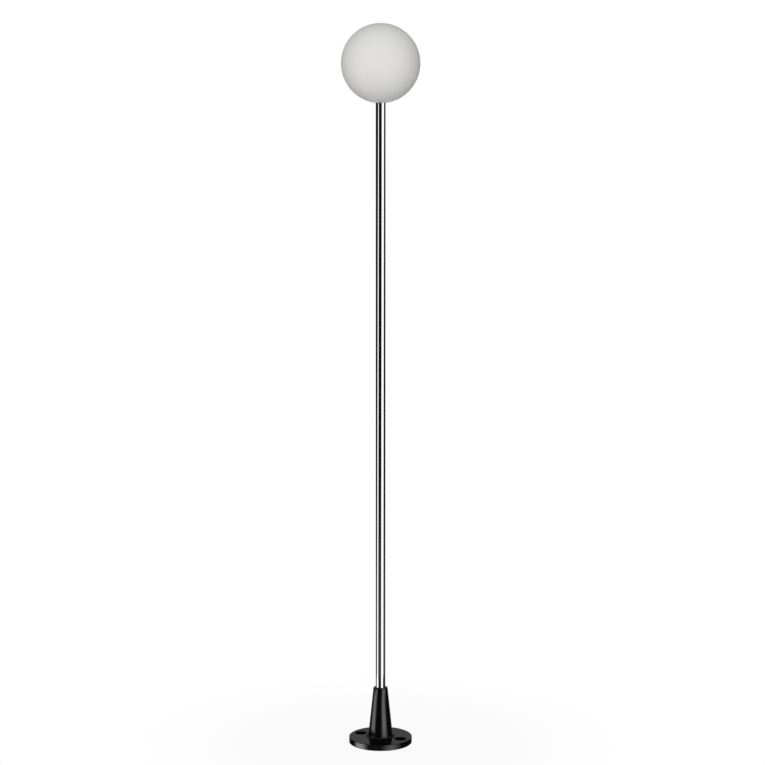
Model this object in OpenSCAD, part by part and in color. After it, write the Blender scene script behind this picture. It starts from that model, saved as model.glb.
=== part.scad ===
// Garden lamp post: an opal glass globe on a polished tube that stands in a
// cast socket base, bolted down through two recessed holes.
// Millimetres, Z up. The origin is the centre of the base's underside.

/* [Overall] */
// Height from the ground to the top of the globe
overall_h = 1865; // [1000:5:2600]

/* [Globe] */
// Outside diameter of the globe
globe_d = 200; // [150:5:300]
// Thickness of the glass
glass_t = 3; // [2:0.5:5]
// Height of the screw thread inside the globe's foot ring
neck_h = 14; // [10:1:24]

/* [Pole] */
// Outside diameter of the tube
tube_d = 25; // [20:0.5:32]
// Wall of the tube
tube_wall = 1.5; // [1:0.1:3]

/* [Base casting] */
// Diameter of the flange
flange_d = 165; // [150:1:240]
// Thickness of the flange at its rim
flange_t = 15.5; // [12:0.5:24]
// Radius of the flange's upper edge
flange_round = 1; // [1:0.5:4]
// Height of the socket above the flange
socket_h = 132; // [100:1:220]
// Diameter of the socket where it meets the flange
socket_foot_d = 64.6; // [58:0.2:80]
// Diameter of the socket at its lip
socket_top_d = 37; // [34:0.5:44]
// Radius of the socket's lip
lip_round = 1.5; // [1:0.5:4]
// Radius of the fillet at the socket's foot
foot_fillet = 6; // [3:0.5:8]
// Wall of the casting
cast_wall = 6; // [4:0.5:7]
// Wall of the sleeve that holds the tube
sleeve_wall = 5; // [4:0.5:6]
// Thickness of the floor under the tube
floor_t = 12; // [8:0.5:16]
// Number of webs under the flange
web_count = 6; // [4:2:8]
// Thickness of a web
web_t = 4; // [3:0.5:6]

/* [Ground bolts] */
// Distance between the two bolt holes
bolt_spacing = 116; // [110:1:180]
// Diameter of a bolt hole
bolt_hole_d = 13; // [9:0.5:14]
// Diameter of the recess for the bolt's head
recess_d = 30; // [22:1:32]
// Depth of that recess
recess_depth = 9; // [5:0.5:10]
// Wall of the boss round the recess
boss_wall = 5; // [3:0.5:6]

/* [Grub screws] */
// Thread diameter of a grub screw
grub_d = 6; // [5:1:8]
// Depth of the lower screw below the socket's lip
grub_low = 38; // [32:1:44]
// Depth of the upper screw below the socket's lip
grub_high = 16; // [12:1:22]

/* [Cable way] */
// Bore of the cable grommet
grommet_bore_d = 10; // [6:0.5:12]
// Diameter of the hole that holds the grommet
grommet_hole_d = 18; // [16:0.5:20]

/* [Lamp] */
// Diameter of the lamp's glass envelope
lamp_d = 15; // [12:1:16]
// Length of the lamp's glass envelope
lamp_h = 44; // [36:1:60]
// Thickness of that glass
lamp_glass_t = 1; // [0.8:0.1:1.5]

/* [Hidden] */
$fn = 96;

slide_gap = 0.1;   // radial clearance of parts that slide together
thread_gap = 0.2;  // radial clearance drawn between two threads
edge_cut = 1;      // chamfer on machined edges
skim = 1;          // how far a cutter runs past the surface that it opens

// pole and globe
globe_r = globe_d / 2;
globe_z = overall_h - globe_r;
tube_r = tube_d / 2;
tube_inner_r = tube_r - tube_wall;
seat_r = tube_r + 2.5;       // the bush's head, which carries the globe
recess_r = seat_r + 0.5;     // the globe's foot ring is bored out round that head
pole_top = globe_low(recess_r);

// base
flange_r = flange_d / 2;
socket_top = flange_t + socket_h;
foot_r = socket_foot_d / 2;
top_r = socket_top_d / 2;
taper = atan((foot_r - top_r) / socket_h);
bore_r = tube_r + slide_gap;
sleeve_r = bore_r + sleeve_wall;
core_tip_w = 2;    // width of the core's tip, between the sleeve and the socket's wall
core_tip_z = flange_t + (foot_r - cast_wall / cos(taper) - sleeve_r - core_tip_w) / tan(taper);
boss_r = recess_d / 2 + boss_wall;

// grommet
grommet_head_r = grommet_hole_d / 2 + 3;
grommet_head_t = 2;
grommet_set_back = 0.4;  // the head stays this far above the ground face

// fittings between the pole and the globe
seat_t = 2;
seat_z = pole_top + seat_t;
bush_plug_h = 28;
nipple_r = 5;
nipple_bore_r = 3.5;
nipple_reach = 6;            // how far the nipple screws into the lamp holder
gasket_t = 1.5;
ledge_z = seat_z + gasket_t; // underside of the foot ring's ledge, on the gasket
cup_r = tube_r - 0.5;
cup_wall = 2.4;
cup_floor_t = 2;
cup_h = gasket_t + neck_h + 2;
neck_r = cup_r + thread_gap;
ring_wall = 2.5;
cement_gap = 0.3;            // the ring is cemented in the glass
ring_r = recess_r + ring_wall;
glass_hole_r = ring_r + cement_gap;

// lamp
holder_r = cup_r - cup_wall - slide_gap;
holder_z = seat_z + cup_floor_t;
holder_h = 24;
holder_top = holder_z + holder_h;
cap_x = 14;
cap_y = 8;
cap_h = 12;
pin_d = 0.8;
pin_pitch = 9;
pin_h = 6;
pin_hole_d = 1.6;
cap_top = holder_top + cap_h;

// height of the globe's outer surface, on its lower half, at a given distance from the axis
function globe_low(at) = globe_z - sqrt(globe_r * globe_r - at * at);
// outer radius of the socket at height z
function socket_r(z) = foot_r - (z - flange_t) * tan(taper);

// ---- base casting ----

// Fillet between the flange's top and the socket's leaning wall, as half a section.
module foot_fillet_2d() {
    cx = foot_r + foot_fillet * (1 - sin(taper)) / cos(taper);
    cz = flange_t + foot_fillet;
    touch = [cx - foot_fillet * cos(taper), cz - foot_fillet * sin(taper)];
    difference() {
        polygon([[foot_r - 4, flange_t - skim], [cx, flange_t - skim], [cx, cz], touch,
                 [touch[0] - 4, touch[1]]]);
        translate([cx, cz]) circle(r = foot_fillet);
    }
}

// The corner that is taken off the socket's lip to round it, as half a section.
module lip_corner_2d() {
    cx = top_r - lip_round * (1 - sin(taper)) / cos(taper);
    cz = socket_top - lip_round;
    touch = [cx + lip_round * cos(taper), cz + lip_round * sin(taper)];
    difference() {
        polygon([[cx, cz], touch, [touch[0] + skim, touch[1]], [top_r + skim, socket_top + skim],
                 [cx, socket_top + skim]]);
        translate([cx, cz]) circle(r = lip_round);
    }
}

// The corner that is taken off the flange's upper edge to round it.
module rim_corner_2d() {
    translate([flange_r - flange_round, flange_t - flange_round])
        difference() {
            square(flange_round + skim);
            circle(r = flange_round);
        }
}

// Half section of the casting's outer form.
module casting_2d() {
    difference() {
        union() {
            polygon([[0, 0], [flange_r - edge_cut, 0], [flange_r, edge_cut], [flange_r, flange_t],
                     [foot_r, flange_t], [top_r, socket_top], [0, socket_top]]);
            foot_fillet_2d();
        }
        lip_corner_2d();
        rim_corner_2d();
    }
}

// Half section of the space under the flange and inside the socket's wall.
module core_2d() {
    rim_r = flange_r - cast_wall;
    ceiling = flange_t - cast_wall;
    wall_r = foot_r - cast_wall / cos(taper);
    draft = 0.5;
    polygon([[sleeve_r, -skim], [rim_r, -skim], [rim_r - draft, ceiling - 2], [rim_r - draft - 2, ceiling],
             [wall_r + foot_fillet, ceiling], [wall_r + 1, flange_t - 1], [wall_r, flange_t],
             [sleeve_r + core_tip_w, core_tip_z], [sleeve_r, core_tip_z]]);
}

module webs() {
    for (i = [0 : web_count / 2 - 1])
        rotate([0, 0, i * 360 / web_count])
            translate([-flange_r + cast_wall / 2, -web_t / 2, 0])
                cube([flange_d - cast_wall, web_t, core_tip_z + skim]);
}

module at_bolts() {
    for (side = [-1, 1]) translate([side * bolt_spacing / 2, 0, 0]) children();
}

module bolt_hole() {
    translate([0, 0, -skim]) cylinder(d = bolt_hole_d, h = flange_t);
    translate([0, 0, flange_t - recess_depth]) cylinder(d = recess_d, h = recess_depth + skim);
    translate([0, 0, flange_t - edge_cut])
        cylinder(d1 = recess_d, d2 = recess_d + 2 * (edge_cut + skim), h = edge_cut + skim);
}

// A radial hole or screw at the socket's back, from one radius to another.
module radial(z, r, from, to) {
    translate([0, from, z]) rotate([-90, 0, 0]) cylinder(r = r, h = to - from);
}

module base_casting() {
    color([0.035, 0.035, 0.038])
    difference() {
        rotate_extrude() casting_2d();
        // the cored underside, less its webs and bosses
        difference() {
            rotate_extrude() core_2d();
            webs();
            at_bolts() cylinder(r = boss_r, h = flange_t - cast_wall + skim);
        }
        at_bolts() bolt_hole();
        // the tube's bore, with a lead-in
        translate([0, 0, floor_t]) cylinder(r = bore_r, h = socket_top);
        translate([0, 0, socket_top - edge_cut])
            cylinder(r1 = bore_r, r2 = bore_r + edge_cut + skim, h = edge_cut + skim);
        // the grommet's seat
        translate([0, 0, -skim]) cylinder(d = grommet_hole_d, h = floor_t + 2 * skim);
        translate([0, 0, -skim])
            cylinder(r = grommet_head_r + slide_gap, h = skim + grommet_set_back + grommet_head_t);
        for (depth = [grub_low, grub_high])
            radial(socket_top - depth, grub_d / 2 + slide_gap / 2, tube_r, foot_r);
    }
}

// ---- fixings ----

// Grub screw with a hexagon socket, bearing on the tube and set in from the casting's face.
module grub_screw(depth) {
    z = socket_top - depth;
    tip = tube_r + slide_gap / 2;
    head = socket_r(z) - 1.5;
    hex_d = grub_d * 0.577;
    color([0.09, 0.09, 0.1])
    difference() {
        radial(z, grub_d / 2, tip, head);
        translate([0, head - grub_d / 2, z]) rotate([-90, 0, 0]) cylinder(d = hex_d, h = grub_d, $fn = 6);
    }
}

// Rubber bush that lines the cable's way in through the floor.
module cable_grommet() {
    throat_r = grommet_bore_d / 2;
    top = floor_t - 1;
    color([0.05, 0.05, 0.05])
    rotate_extrude()
        polygon([[throat_r, grommet_set_back], [grommet_head_r, grommet_set_back],
                 [grommet_head_r, grommet_set_back + grommet_head_t],
                 [grommet_hole_d / 2, grommet_set_back + grommet_head_t], [grommet_hole_d / 2, top],
                 [throat_r, top]]);
}

// ---- pole ----

module pole_tube() {
    color([0.82, 0.82, 0.84])
    translate([0, 0, floor_t])
        difference() {
            cylinder(r = tube_r, h = pole_top - floor_t);
            translate([0, 0, -skim]) cylinder(r = tube_inner_r, h = pole_top);
        }
}

// Turned bush: its plug fills the tube's end and its head carries the globe.
module top_bush() {
    plug_r = tube_inner_r - slide_gap / 2;
    plug_z = pole_top - bush_plug_h;
    tapped_r = nipple_r + slide_gap / 2;
    color([0.82, 0.82, 0.84])
    rotate_extrude()
        polygon([[tapped_r, plug_z], [plug_r - edge_cut, plug_z], [plug_r, plug_z + edge_cut],
                 [plug_r, pole_top], [seat_r, pole_top], [seat_r, seat_z], [tapped_r, seat_z]]);
}

// Threaded tube that the wires run through: it ties the bush, the cup and the lamp holder together.
module hollow_nipple() {
    foot_z = pole_top - bush_plug_h / 2;
    color([0.72, 0.6, 0.3])
    translate([0, 0, foot_z])
        difference() {
            cylinder(r = nipple_r, h = holder_z + nipple_reach - foot_z);
            translate([0, 0, -skim]) cylinder(r = nipple_bore_r, h = holder_z + 2 * nipple_reach - foot_z);
        }
}

// Cup that stands on the bush: the globe screws on round it, and the lamp holder sits in it.
module screw_cup() {
    color([0.75, 0.75, 0.76])
    translate([0, 0, seat_z])
        difference() {
            cylinder(r = cup_r, h = cup_h);
            translate([0, 0, cup_floor_t]) cylinder(r = cup_r - cup_wall, h = cup_h);
            translate([0, 0, -skim]) cylinder(r = nipple_r + slide_gap / 2, h = cup_h);
        }
}

module ring_gasket() {
    color([0.9, 0.9, 0.88])
    translate([0, 0, seat_z])
        difference() {
            cylinder(r = seat_r, h = gasket_t);
            translate([0, 0, -skim]) cylinder(r = neck_r, h = gasket_t + 2 * skim);
        }
}

// ---- globe ----

// Turned ring cemented in the glass: its lower face follows the ball, its bore takes the bush's head, and its
// neck screws on to the cup.
module globe_ring() {
    neck_outer_r = neck_r + ring_wall;
    shoulder_z = ledge_z + ring_wall;
    color([0.8, 0.8, 0.81])
    rotate_extrude()
        intersection() {
            translate([0, globe_z]) circle(r = globe_r, $fn = 360);
            polygon([[recess_r, globe_z - globe_r], [ring_r, globe_z - globe_r], [ring_r, shoulder_z],
                     [neck_outer_r, shoulder_z], [neck_outer_r, ledge_z + neck_h], [neck_r, ledge_z + neck_h],
                     [neck_r, ledge_z], [recess_r, ledge_z]]);
        }
}

// The ball, with a plain round hole at its foot.
module globe() {
    color([0.86, 0.86, 0.85])
    rotate_extrude($fn = 180)
        difference() {
            translate([0, globe_z])
                difference() {
                    circle(r = globe_r);
                    circle(r = globe_r - glass_t);
                }
            translate([-globe_d, 0]) square([globe_d, overall_h + skim]);
            translate([0, globe_z - globe_r - skim]) square([glass_hole_r, globe_r]);
        }
}

// ---- lamp ----

// The two contacts, side by side along X.
module at_pins() {
    for (side = [-1, 1]) translate([side * pin_pitch / 2, 0, 0]) children();
}

module lamp_holder() {
    color([0.93, 0.92, 0.88])
    difference() {
        translate([0, 0, holder_z]) cylinder(r = holder_r, h = holder_h);
        // the tapped foot, the well for the wires, and the contact holes
        translate([0, 0, holder_z - skim]) cylinder(r = nipple_r + slide_gap / 2, h = nipple_reach + skim);
        translate([0, 0, holder_z]) cylinder(r = nipple_bore_r, h = holder_h - pin_h - 5);
        at_pins() translate([0, 0, holder_top - pin_h - 2]) cylinder(d = pin_hole_d, h = pin_h + 2 + skim);
    }
}

module lamp_cap() {
    color([0.93, 0.92, 0.88]) {
        difference() {
            translate([-cap_x / 2, -cap_y / 2, holder_top]) cube([cap_x, cap_y, cap_h]);
            // the waist that the holder's springs grip
            for (side = [-1, 1])
                translate([side * cap_x / 2 - 1, -cap_y, holder_top + cap_h * 0.35]) cube([2, cap_y * 2, 3]);
        }
        at_pins() translate([0, 0, holder_top - pin_h]) cylinder(d = pin_d, h = pin_h + skim);
    }
}

// Half section of a round-topped rod that stands on z = 0.
module dome_rod_2d(r, h) {
    square([r, h - r]);
    intersection() {
        translate([0, h - r]) circle(r = r);
        square([r, h]);
    }
}

module lamp_envelope() {
    color([0.97, 0.97, 0.95])
    translate([0, 0, cap_top])
        rotate_extrude()
            difference() {
                dome_rod_2d(lamp_d / 2, lamp_h);
                dome_rod_2d(lamp_d / 2 - lamp_glass_t, lamp_h - lamp_glass_t);
            }
}

base_casting();
grub_screw(grub_low);  // lower_grub_screw
grub_screw(grub_high);  // upper_grub_screw
cable_grommet();
pole_tube();
top_bush();
hollow_nipple();
screw_cup();
ring_gasket();
globe_ring();
globe();
lamp_holder();
lamp_cap();
lamp_envelope();
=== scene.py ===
import bpy
import bmesh
import math
from mathutils import Matrix, Quaternion, Vector


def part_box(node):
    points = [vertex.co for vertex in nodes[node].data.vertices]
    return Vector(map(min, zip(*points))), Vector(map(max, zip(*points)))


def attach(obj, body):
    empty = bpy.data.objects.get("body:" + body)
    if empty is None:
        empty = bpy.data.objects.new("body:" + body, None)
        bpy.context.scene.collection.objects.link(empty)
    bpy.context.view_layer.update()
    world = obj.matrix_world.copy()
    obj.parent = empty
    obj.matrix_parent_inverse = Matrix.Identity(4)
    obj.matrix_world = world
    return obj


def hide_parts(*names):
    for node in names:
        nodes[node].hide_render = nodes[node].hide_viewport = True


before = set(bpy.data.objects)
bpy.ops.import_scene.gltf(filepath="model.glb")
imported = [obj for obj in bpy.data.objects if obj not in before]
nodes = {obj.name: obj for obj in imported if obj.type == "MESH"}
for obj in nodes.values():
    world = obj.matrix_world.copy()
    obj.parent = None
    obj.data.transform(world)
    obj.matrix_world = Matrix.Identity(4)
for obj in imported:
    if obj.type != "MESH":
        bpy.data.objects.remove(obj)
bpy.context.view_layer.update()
scene = bpy.context.scene
mm = 0.001


def toWorld(azimuth, elevation=0.0):
    # unit vector from the post outwards: azimuth 0 is -Y, 90 is +X
    a, e = math.radians(azimuth), math.radians(elevation)
    return Vector((math.sin(a) * math.cos(e), -math.cos(a) * math.cos(e), math.sin(e)))


def addObject(name, data):
    made = bpy.data.objects.new(name, data)
    scene.collection.objects.link(made)
    return made


print("camera")

shot = {
    "azimuth": 26.7,      # degrees
    "distance": 5.341,    # metres from the post's axis
    "height": 1.685,
    "focal": 98.7,
    "sensor": 36.0,
    "clipEnd": 200.0,
    "aimHeight": 0.9537,
    "aimRight": 0.0049,
    "roll": 0.02,         # degrees
}


def makeCamera():
    data = bpy.data.cameras.new("camera")
    data.lens = shot["focal"]
    data.sensor_width = shot["sensor"]
    data.clip_end = shot["clipEnd"]
    camera = addObject("camera", data)
    camera.location = toWorld(shot["azimuth"]) * shot["distance"] + Vector((0, 0, shot["height"]))
    aim = toWorld(shot["azimuth"] + 90) * shot["aimRight"] + Vector((0, 0, shot["aimHeight"]))
    camera.rotation_mode = "QUATERNION"
    roll = Quaternion((0, 0, 1), math.radians(shot["roll"]))
    camera.rotation_quaternion = (aim - camera.location).to_track_quat("-Z", "Y") @ roll
    scene.camera = camera


makeCamera()


# node helpers
nodeGap = 200


def addNode(tree, kind, **settings):
    # each new node stands to the right of those before it
    node = tree.nodes.new(kind)
    node.location = (nodeGap * len(tree.nodes), 0)
    for key, value in settings.items():
        setattr(node, key, value)
    return node


def setSockets(node, **values):
    for key, value in values.items():
        node.inputs[key.replace("_", " ")].default_value = value


def feed(tree, value, socket):
    # a socket takes a number, a colour or another node's output
    if isinstance(value, (int, float)):
        socket.default_value = value
    elif isinstance(value, tuple):
        socket.default_value = (*value, 1.0)
    else:
        tree.links.new(value, socket)


def wire(tree, kind, sockets, **settings):
    # makes a node, feeds its inputs and gives back its outputs
    node = addNode(tree, kind, **settings)
    for key, value in sockets.items():
        feed(tree, value, node.inputs[key])
    return node.outputs


def addMath(tree, operation, *values, clamp=False):
    return wire(tree, "ShaderNodeMath", dict(enumerate(values)), operation=operation, use_clamp=clamp)[0]


def times(tree, first, second, clamp=False):
    return addMath(tree, "MULTIPLY", first, second, clamp=clamp)


def plus(tree, first, second):
    return addMath(tree, "ADD", first, second)


def addRange(tree, value, low, high, toLow=0.0, toHigh=1.0, smooth=False):
    sockets = {"Value": value, "From Min": low, "From Max": high, "To Min": toLow, "To Max": toHigh}
    curve = "SMOOTHSTEP" if smooth else "LINEAR"
    return wire(tree, "ShaderNodeMapRange", sockets, interpolation_type=curve)["Result"]


def addNoise(tree, vector, scale, detail, roughness):
    sockets = {"Vector": vector, "Scale": scale, "Detail": detail, "Roughness": roughness}
    return wire(tree, "ShaderNodeTexNoise", sockets)[0]


def mixColours(tree, factor, first, second):
    return wire(tree, "ShaderNodeMix", {0: factor, 6: first, 7: second}, data_type="RGBA")[2]


def mixShaders(tree, factor, first, second):
    # these two take the place of the principled shader
    tree.nodes.remove(tree.nodes["Principled BSDF"])
    mixed = wire(tree, "ShaderNodeMixShader", {0: factor, 1: first, 2: second})[0]
    feed(tree, mixed, tree.nodes["Material Output"].inputs["Surface"])


def newGroup(name, inputs, outputs):
    group = bpy.data.node_groups.new(name, "ShaderNodeTree")
    for label, value in inputs.items():
        socket = group.interface.new_socket(name=label, in_out="INPUT", socket_type="NodeSocketFloat")
        socket.default_value = value
    for label in outputs:
        group.interface.new_socket(name=label, in_out="OUTPUT", socket_type="NodeSocketFloat")
    start = addNode(group, "NodeGroupInput")
    end = addNode(group, "NodeGroupOutput")
    place = addNode(group, "ShaderNodeTexCoord").outputs["Object"]
    return group, start.outputs, end.inputs, place


def placeGroup(tree, group, values):
    return wire(tree, "ShaderNodeGroup", values, node_tree=group)


print("shader groups")

effects = {
    "toothScale": 3.7,               # the tooth's scale, in lumps
    "patchRange": (0.3, 0.7),
    "bevelSamples": 6,
    "edgeTurn": (0.995, 0.8),        # how far a normal has to turn to count as an edge
    "edgeBreak": (0.4, 0.62),
    "dustSlope": (0.2, 1.0),         # how far up a surface has to face to hold dust
    "dustBreak": (0.35, 0.75),
    "smudgeRange": (0.35, 0.7),
}


def buildGrainGroup():
    # soft lumps with a finer tooth on them, and large faint patches
    group, given, out, place = newGroup(
        "fineGrain", {"Scale": 900.0, "Tooth": 0.3, "Patch Scale": 25.0}, ["Height", "Patches"])
    lumps = addNoise(group, place, given["Scale"], detail=1.0, roughness=0.4)
    toothScale = times(group, given["Scale"], effects["toothScale"])
    tooth = addNoise(group, place, toothScale, detail=2.0, roughness=0.6)
    patches = addNoise(group, place, given["Patch Scale"], detail=4.0, roughness=0.55)
    height = plus(group, lumps, times(group, tooth, given["Tooth"]))
    feed(group, height, out["Height"])
    feed(group, addRange(group, patches, *effects["patchRange"]), out["Patches"])
    return group


def buildEdgeGroup():
    # 1 where the surface turns sharply, broken up so that it is never an even line
    group, given, out, place = newGroup(
        "edgeWear", {"Radius": 0.8 * mm, "Amount": 0.5, "Break Up": 300.0}, ["Mask"])
    rounded = wire(group, "ShaderNodeBevel", {"Radius": given["Radius"]}, samples=effects["bevelSamples"])[0]
    flat = addNode(group, "ShaderNodeNewGeometry").outputs["Normal"]
    turn = wire(group, "ShaderNodeVectorMath", {0: rounded, 1: flat}, operation="DOT_PRODUCT")["Value"]
    edge = addRange(group, turn, *effects["edgeTurn"])
    noise = addNoise(group, place, given["Break Up"], detail=5.0, roughness=0.65)
    broken = times(group, edge, addRange(group, noise, *effects["edgeBreak"]), clamp=True)
    feed(group, times(group, broken, given["Amount"], clamp=True), out["Mask"])
    return group


def buildDustGroup():
    # fine dust that settles on what faces up
    group, given, out, place = newGroup("dustFilm", {"Amount": 0.2, "Scale": 120.0}, ["Mask"])
    normal = addNode(group, "ShaderNodeNewGeometry").outputs["Normal"]
    facing = wire(group, "ShaderNodeSeparateXYZ", {0: normal})["Z"]
    level = addRange(group, facing, *effects["dustSlope"], smooth=True)
    noise = addNoise(group, place, given["Scale"], detail=7.0, roughness=0.7)
    settled = times(group, level, addRange(group, noise, *effects["dustBreak"]))
    feed(group, times(group, settled, given["Amount"], clamp=True), out["Mask"])
    return group


def buildPolishGroup():
    # fine lines left by polishing or turning: Across is their density round the axis, Along up it
    group, given, out, place = newGroup(
        "polishLines", {"Across": 2500.0, "Along": 4.0, "Smudge Scale": 18.0}, ["Height", "Smudges"])
    across, along = given["Across"], given["Along"]
    stretch = wire(group, "ShaderNodeCombineXYZ", {"X": across, "Y": across, "Z": along})[0]
    scaled = wire(group, "ShaderNodeVectorMath", {0: place, 1: stretch}, operation="MULTIPLY")[0]
    lines = addNoise(group, scaled, 1.0, detail=3.0, roughness=0.6)
    feed(group, lines, out["Height"])
    smudges = addNoise(group, place, given["Smudge Scale"], detail=5.0, roughness=0.6)
    feed(group, addRange(group, smudges, *effects["smudgeRange"]), out["Smudges"])
    return group


grainGroup = buildGrainGroup()
edgeGroup = buildEdgeGroup()
dustGroup = buildDustGroup()
polishGroup = buildPolishGroup()


def newMaterial(name):
    material = bpy.data.materials.new(name)
    material.use_nodes = True
    return material, material.node_tree, material.node_tree.nodes["Principled BSDF"]


def addBump(tree, shader, height, distance):
    bump = wire(tree, "ShaderNodeBump", {"Strength": 1.0, "Distance": distance, "Height": height})[0]
    feed(tree, bump, shader.inputs["Normal"])


def coat(tree, shader, colour, mask, roughness, height, depth):
    # colour, roughness that runs between two values with a mask, and fine relief
    feed(tree, colour, shader.inputs["Base Color"])
    feed(tree, addRange(tree, mask, 0.0, 1.0, *roughness), shader.inputs["Roughness"])
    addBump(tree, shader, height, depth)


turning = {
    "lines": {"Across": 40.0, "Along": 9000.0, "Smudge Scale": 60.0}, "lineDepth": 0.002 * mm,
    "edges": {"Radius": 0.4 * mm, "Amount": 0.6, "Break Up": 500.0},
    "dull": 0.86, "bright": 1.12,    # smudges and worn edges, as shares of the metal's colour
}


def makeTurnedMetal(name, look):
    # bare metal turned on a lathe: rings round the axis, edges a little brighter
    material, tree, shader = newMaterial(name)
    setSockets(shader, Metallic=1.0)
    turned = placeGroup(tree, polishGroup, turning["lines"])
    edges = placeGroup(tree, edgeGroup, turning["edges"])
    dull = tuple(turning["dull"] * part for part in look["colour"])
    bright = tuple(min(1.0, turning["bright"] * part) for part in look["colour"])
    body = mixColours(tree, turned["Smudges"], look["colour"], dull)
    worn = mixColours(tree, edges["Mask"], body, bright)
    coat(tree, shader, worn, turned["Smudges"], look["roughness"], turned["Height"], turning["lineDepth"])
    return material


moulded = {
    "grain": {"Tooth": 0.4, "Patch Scale": 70.0},
    "dust": {"Scale": 200.0}, "dustColour": (0.4, 0.39, 0.37),
}


def makeMoulded(name, look):
    # rubber, ceramic, cement and frosted glass: an even body with fine grain and faint clouds
    material, tree, shader = newMaterial(name)
    grain = placeGroup(tree, grainGroup, {"Scale": look["scale"], **moulded["grain"]})
    settled = placeGroup(tree, dustGroup, {"Amount": look.get("dust", 0.0), **moulded["dust"]})
    body = mixColours(tree, grain["Patches"], look["colour"], look["cloud"])
    dusty = mixColours(tree, settled["Mask"], body, moulded["dustColour"])
    coat(tree, shader, dusty, grain["Patches"], look["roughness"], grain["Height"], look["depth"])
    return material


# mesh helpers
def span(node):
    # radius round the post's axis, lowest and highest point of a CAD node
    low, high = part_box(node)
    return high.x, low.z, high.z


def arc(centre, radius, start, end, steps):
    # points of an arc in the half section, angles in degrees from outwards to up
    angles = [math.radians(start + (end - start) * step / steps) for step in range(steps + 1)]
    return [(centre[0] + radius * math.cos(a), centre[1] + radius * math.sin(a)) for a in angles]


def section(corners, steps=3, holdShare=1.06):
    # half section with rounded corners; a corner is (radius, height) or (radius, height, rounding)
    points = []
    for index, corner in enumerate(corners):
        here = Vector(corner[:2])
        if len(corner) < 3:
            points.append(tuple(here))
            continue
        before = (Vector(corners[index - 1][:2]) - here).normalized()
        after = (Vector(corners[(index + 1) % len(corners)][:2]) - here).normalized()
        half = before.angle(after) / 2
        reach = corner[2] / math.tan(half)
        middle = here + (before + after).normalized() * corner[2] / math.sin(half)
        first, last = here + before * reach - middle, here + after * reach - middle
        turn = first.angle_signed(last)
        turns = [Matrix.Rotation(-turn * step / steps, 2) for step in range(steps + 1)]
        rounding = [tuple(middle + rotation @ first) for rotation in turns]
        # a close row on each side keeps the flats beside a rounding flat in the shading
        hold = reach * holdShare
        points += [tuple(here + before * hold), *rounding, tuple(here + after * hold)]
    return points


def threadShape(pitch, depth, low, high, crest=0.15):
    # right-hand thread cut into a radius (or out of a bore, with a negative depth), run out at both ends
    def shape(radius, height, angle):
        phase = (height / pitch - angle / (2 * math.pi)) % 1.0
        flank = min(1.0, max(0.0, abs(2 * phase - 1) * (1 + 2 * crest) - crest))
        runOut = min(1.0, (height - low) / pitch, (high - height) / pitch)
        return radius - depth * flank * max(0.0, runOut)
    return shape


def threadRun(radius, low, high, pitch, depth, perTurn=8):
    # section points from low to high that carry a thread
    shape = threadShape(pitch, depth, min(low, high), max(low, high))
    count = max(2, round(abs(high - low) / pitch * perTurn))
    return [(radius, low + (high - low) * step / count, shape) for step in range(count + 1)]


def lathe(name, points, segments=96, axisSlack=1e-7):
    # turns a closed section round Z; a point may carry a shape that varies its radius with the angle
    bm = bmesh.new()
    rows = []
    for radius, height, *shape in points:
        if radius < axisSlack:
            rows.append([bm.verts.new((0, 0, height))])
            continue
        row = []
        for step in range(segments):
            angle = 2 * math.pi * step / segments
            r = shape[0](radius, height, angle) if shape else radius
            row.append(bm.verts.new((r * math.cos(angle), r * math.sin(angle), height)))
        rows.append(row)
    for lower, upper in zip(rows, rows[1:] + rows[:1]):
        for step in range(segments if max(len(lower), len(upper)) > 1 else 0):
            following = (step + 1) % segments
            if len(lower) == 1:
                bm.faces.new((lower[0], upper[following], upper[step]))
            elif len(upper) == 1:
                bm.faces.new((lower[step], lower[following], upper[0]))
            else:
                bm.faces.new((lower[step], lower[following], upper[following], upper[step]))
    bmesh.ops.recalc_face_normals(bm, faces=bm.faces)
    return finishMesh(name, bm)


def finishMesh(name, bm, sharp=35.0):
    mesh = bpy.data.meshes.new(name)
    bm.to_mesh(mesh)
    bm.free()
    for polygon in mesh.polygons:
        polygon.use_smooth = True
    mesh.set_sharp_from_angle(angle=math.radians(sharp))
    return addObject(name, mesh)


def aroundAxis(vertex):
    return math.atan2(vertex.co.y, vertex.co.x)


def joinRings(bm, lower, upper):
    # triangles between two rings of different counts, both in order round the axis
    low = high = 0
    while low < len(lower) or high < len(upper):
        lowNext = aroundAxis(lower[low + 1]) if low + 1 < len(lower) else math.pi + low
        highNext = aroundAxis(upper[high + 1]) if high + 1 < len(upper) else math.pi + high
        here, there = lower[low % len(lower)], upper[high % len(upper)]
        if high >= len(upper) or (low < len(lower) and lowNext <= highNext):
            low += 1
            bm.faces.new((here, lower[low % len(lower)], there))
        else:
            high += 1
            bm.faces.new((here, upper[high % len(upper)], there))


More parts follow.
